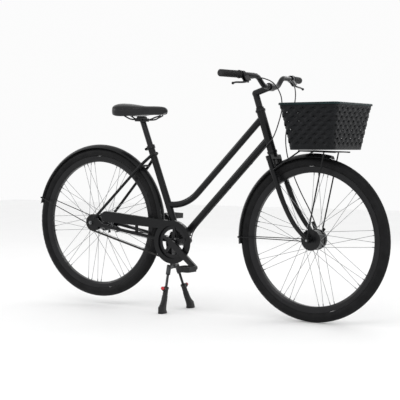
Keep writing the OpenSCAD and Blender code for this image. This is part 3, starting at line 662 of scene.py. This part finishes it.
def basket_point(turn, h, out=0.0):
    """h runs from 0 at the base to 1 at the rim; out is mm outward of the wall's middle."""
    half = [lo + (hi - lo) * h for lo, hi in zip(LOW_HALF, TOP_HALF)]
    (x, y), (nx, ny) = round_rect(half[0] - HALF_WALL, half[1] - HALF_WALL, CORNER - 2, turn)
    return BASKET_BASE + MM * ((x + nx * out) * LEVEL_X + (y + ny * out) * LEFT
                               + h * BASKET_H * LEVEL_Z)


def basket_normal(turn, h):
    """The way out of the wall."""
    return (basket_point(turn, h, 1) - basket_point(turn, h)).normalized()


def floor_strands(weave, count, gap, along, across, reach, lift):
    """Flat strands of the basket's floor that run one way, over and under the other way's."""
    steps = 20
    for k in range(-count, count + 1):
        path = []
        for i in range(-steps, steps + 1):
            wave = 1.4 * math.sin(i * math.pi / 2 + k * math.pi)
            path.append(BASKET_BASE + MM * (i / steps * reach * along + k * gap * across
                                            + (4 + lift * wave) * LEVEL_Z))
        weave.tube(path, 5.2 * MM, sides=6, flat=0.28, normals=[LEVEL_Z] * len(path))


def basket():
    """Wavy strands in levels, upright stakes behind them, a woven floor, bands and a rim."""
    weave = Shape()
    waves, levels = 24, 9
    strand_r, stake_r = 8.3 * MM, 8.5 * MM
    low, high = 0.11, 0.93
    pitch = (high - low) / levels
    steps = waves * 14
    for level in range(levels + 1):
        h0 = low + pitch * level
        flip = math.pi * (level % 2)
        path, normals = [], []
        for k in range(steps):
            turn = k / steps
            a = 2 * math.pi * waves * turn + flip
            h = h0 + 0.24 * pitch * math.sin(a)
            path.append(basket_point(turn, h, 0.2 + 1.6 * math.cos(a)))
            normals.append(basket_normal(turn, h))
        weave.tube(path, strand_r, sides=8, closed=True, flat=0.17, normals=normals)
    for k in range(2 * waves):
        turn = (k + 0.5) / (2 * waves)
        spots = [basket_point(turn, 0.02 + 0.93 * i / 24, -4.2) for i in range(25)]
        norm = [basket_normal(turn, i / 24) for i in range(25)]
        weave.tube(spots, stake_r, sides=6, flat=0.1, normals=norm)
    floor_strands(weave, 10, 13, LEVEL_X, LEFT, 98, 1)
    floor_strands(weave, 7, 13.6, LEFT, LEVEL_X, 140, -1)
    for h_low, h_high, thick in ((0.0, 0.1, 3.4), (0.92, 0.955, 3.0)):
        rows = []
        for k in range(160):
            turn = k / 160
            rows.append([basket_point(turn, h, out) for h, out in
                         ((h_low, -thick + 1), (h_low, 1.2), (h_low + 0.01, 2.4),
                          (h_high - 0.01, 2.4), (h_high, 1.2), (h_high, -thick + 1))])
        weave.grid(rows, close_rows=True)
    weave.make("basket_woven", "basket_weave", "fork", replaces=["basket"])

    rim = Shape()
    rows = []
    section = [(-5, 188.4), (4.6, 188.2), (5.3, 189.4), (5.4, 193), (4.8, 196.4), (2.6, 198),
               (-2, 198), (-4.4, 196.4), (-5, 193)]
    for k in range(200):
        turn = k / 200
        row = []
        for out, z in section:
            spot = basket_point(turn, 1, out)
            row.append(spot + MM * (z - BASKET_H) * LEVEL_Z)
        rows.append(row)
    rim.grid(rows, close_rows=True)
    rim.make("basket_top_rim", "basket_trim", "fork", replaces=["basket_rim"])


basket()


# ---------- grips ----------

def grips():
    """Both grips, each turned from one ribbed outline with a flange at its inner end."""
    shape = Shape()
    for side in SIDES.values():
        axis = side * grip_axes(side)[1]
        profile = [(29.5, 11.2), (29.5, 17.6), (30.5, 18), (33, 18), (34, 17.4), (34.4, 15)]
        rib = 36
        while rib < 138:
            profile += [(rib, 14.4), (rib + 0.5, 15.4), (rib + 2.2, 15.5), (rib + 2.7, 14.4)]
            rib += 3.6
        profile += [(140, 15.2), (146, 15.5), (148.4, 14.6), (149, 12.5), (149, 4)]
        shape.lathe(on_grip(side, 0, 0, 0), axis, profile, sides=40)
    shape.make("ribbed_grips", "grip_rubber", "fork", replaces=["grips"])


grips()


# ---------- pedals ----------

PEDAL_HALF = (33.5, 42)
PEDAL_Y = 144


def pedal(side_name, side):
    """A frame with a toothed edge, studded treads across it, and the axle's barrel."""
    offset = place("pedal_" + side_name + "_spin") - REAR_AXLE
    middle = (REAR_AXLE + offset.dot(FORWARD) * FORWARD + offset.dot(UP) * UP
              + side * PEDAL_Y * MM * LEFT)

    def spot(x, y, z):
        return middle + MM * (x * FORWARD + y * LEFT + z * UP)

    shape = Shape()
    rows = []
    for k in range(240):
        (x, y), (nx, ny) = round_rect(PEDAL_HALF[0] - 4, PEDAL_HALF[1] - 4, 12, k / 240)
        h = 11.8 if k % 6 < 4 else 10.2
        rows.append([spot(x + nx * o, y + ny * o, z) for o, z in
                     ((-3.6, 0), (-3.6, -h), (2.8, -h), (3.8, 1 - h), (3.8, h - 1), (2.8, h),
                      (-3.6, h))])
    shape.grid(rows, close_rows=True)
    for y in (-27, 0, 27):
        for sign in (-1, 1):
            rows = []
            for x, w, h in ((9, 4.5, 8), (12, 4.5, 9), (28, 4.5, 9), (30.5, 4.5, 9)):
                rows.append([spot(sign * x, y + dy, z) for dy, z in
                             ((-w, 1 - h), (1 - w, -h), (w - 1, -h), (w, 1 - h), (w, h - 1),
                              (w - 1, h), (1 - w, h), (-w, h - 1))])
            shape.grid(rows, caps=True)
            for x in (15, 20, 25):
                for up in (-1, 1):
                    shape.lathe(spot(sign * x, y, up * 8.5), up * UP,
                                [(0, 1.8), (2.6, 1.7), (3.1, 1.2)], sides=10)
    shape.lathe(spot(0, -side * 44, 0), side * LEFT,
                [(0, 8), (0, 10), (3, 10.5), (6, 9.4), (38, 8.2), (50, 8.2), (80, 9.6), (84, 9.8),
                 (87, 8), (88, 5)], sides=32)
    shape.make("pedal_body_" + side_name, "pedal_plastic", "pedal_" + side_name,
               replaces=["pedal_" + side_name])


for side_name, side in SIDES.items():
    pedal(side_name, side)


# ---------- brake cables ----------

CABLE_R = 2.5
FRONT_CABLE = [(915.3, 172.9, 1041.6), (922, 146, 1043), (946, 120, 1042),
               (980, 92, 1024), (1002, 68, 980), (1002, 57, 930),
               (984, 52, 880), (968, 54, 800), (974, 60, 720), (1000, 68, 640),
               (1040, 70, 560), (1090, 68, 480), (1122, 58, 430), (1136, 52, 404)]
CABLE_LOOP = [(915.3, -172.9, 1041.6), (922, -146, 1043), (946, -118, 1042),
              (978, -86, 1022), (997, -56, 972), (996, -42, 915), (980, -34, 860),
              (956, -30, 800), (930, -26, 766), (906, -23, 742)]
REAR_CABLE = [(906, -23, 742), (880, -21, 714), (700, -20, 521), (560, -14, 372),
              (520, 6, 318), (492, 30, 274), (440, 54, 276), (370, 60, 294),
              (240, 72, 312), (120, 70, 318), (84, 60, 316), (56, 52, 310)]


def ferrule(shape, at, axis, length=14):
    """The metal cap on the end of a cable's housing."""
    shape.lathe(at, axis, [(0, 2.6), (0, 3.4), (1, 3.7), (length * 0.6, 3.7),
                           (length * 0.62, 3.1), (length, 3.1), (length, 2.6)], sides=18)


def cable(name, points, body, replaces, ends):
    """A cable's housing through the points, with a ferrule at each end that ends says."""
    path = curve([bike(*p) for p in points], 8)
    shape = Shape()
    shape.tube(path, CABLE_R * MM, sides=12)
    if ends[0]:
        ferrule(shape, path[0], path[1] - path[0])
    if ends[1]:
        ferrule(shape, path[-1], path[-2] - path[-1])
    return shape.make(name, "cable_housing", body, replaces=replaces)


cable("front_cable_housing", FRONT_CABLE, "fork", ["front_brake_cable"], (True, True))
cable("rear_cable_housing", REAR_CABLE, "frame", ["rear_brake_cable"], (False, True))
loop = cable("rear_cable_loop_housing", CABLE_LOOP, None, ["rear_brake_cable_loop"],
             (True, False))
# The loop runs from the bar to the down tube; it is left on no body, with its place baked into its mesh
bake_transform(loop)

clips = Shape()
CLIP_START, CLIP_RUN = (880, -20, 714), (-320, 6, -342)
for fraction in (0.12, 0.45, 0.78):
    at = bike(CLIP_START[0] + CLIP_RUN[0] * fraction, CLIP_START[1],
              CLIP_START[2] + CLIP_RUN[2] * fraction)
    along = bike_dir(*CLIP_RUN)
    clips.lathe(at - 3 * MM * along, along, [(0, 2.6), (0, 4), (0.6, 4.4), (5.4, 4.4), (6, 4),
                                             (6, 2.6)], sides=20)
clips.make("cable_clips", "black_hardware", "frame")


# ---------- stand legs ----------

BUTTON_Z = -84
FOOT_Y = 117


def oval(rx, ry, sides=36, power=0.8):
    """A rounded, slightly square outline with half widths rx and ry."""
    outline = []
    for k in range(sides):
        a = 2 * math.pi * k / sides
        c, s = math.cos(a), math.sin(a)
        outline.append((rx * math.copysign(abs(c) ** power, c),
                        ry * math.copysign(abs(s) ** power, s)))
    return outline


def stand_leg(side_name, side):
    """Collar, sleeve and flared foot in one moulding, the button's boss, and bright rings."""
    shape = Shape()
    sections = [(-70, 8.5, 8.5), (-70, 11.4, 11.4), (-71, 12.5, 12.5), (-77.5, 12.5, 12.5),
                (-79, 11.6, 11.6), (-80, 10.6, 10.6), (-92, 10.8, 11), (-110, 11, 11.4),
                (-112, 12, 12.4), (-114, 12.2, 12.6), (-135, 12.6, 13.6), (-150, 13, 15),
                (-163, 13.8, 18), (-174, 14.6, 23)]
    rows = []
    for z, rx, ry in sections:
        drift = side * 9 * (max(0, -z - 120) / 60) ** 2
        rows.append([on_leg(side, x, y + drift, z) for x, y in oval(rx, ry)])
    sole = Vector((PIVOT.x + FOOT_AHEAD * MM, side * FOOT_Y * MM, 0))
    for z, rx, ry in ((9, 15.2, 25), (4, 15.8, 25.5), (1.2, 15.8, 25.2), (0.3, 14.8, 24)):
        rows.append([sole + MM * Vector((x, y, z)) for x, y in oval(rx, ry)])
    shape.grid(rows, caps=True)
    boss = on_leg(side, 0, 0, BUTTON_Z)
    axis = (on_leg(side, 0, side, BUTTON_Z) - boss).normalized()
    shape.lathe(boss, axis, [(2, 9), (11, 9.4), (12, 10), (19.4, 10), (20, 9.4), (20, 5.2)],
                sides=36)
    shape.make("stand_leg_moulding_" + side_name, "leg_plastic", "stand_leg_" + side_name,
               replaces=["stand_leg_" + side_name])
    ring = Shape()
    ring.lathe(boss, axis, [(16.2, 9.9), (16.2, 10.25), (17, 10.25), (17, 9.9)], sides=36,
               caps=False)
    ring.lathe(on_leg(side, 0, 0, -78.4), axis=on_leg(side, 0, 0, -77) - on_leg(side, 0, 0, -78),
               profile=[(0, 12.2), (0, 12.7), (0.7, 12.7), (0.7, 12.2)], sides=36, caps=False)
    ring.make("stand_leg_ring_" + side_name, "bright_steel", "stand_leg_" + side_name)


for side_name, side in SIDES.items():
    stand_leg(side_name, side)
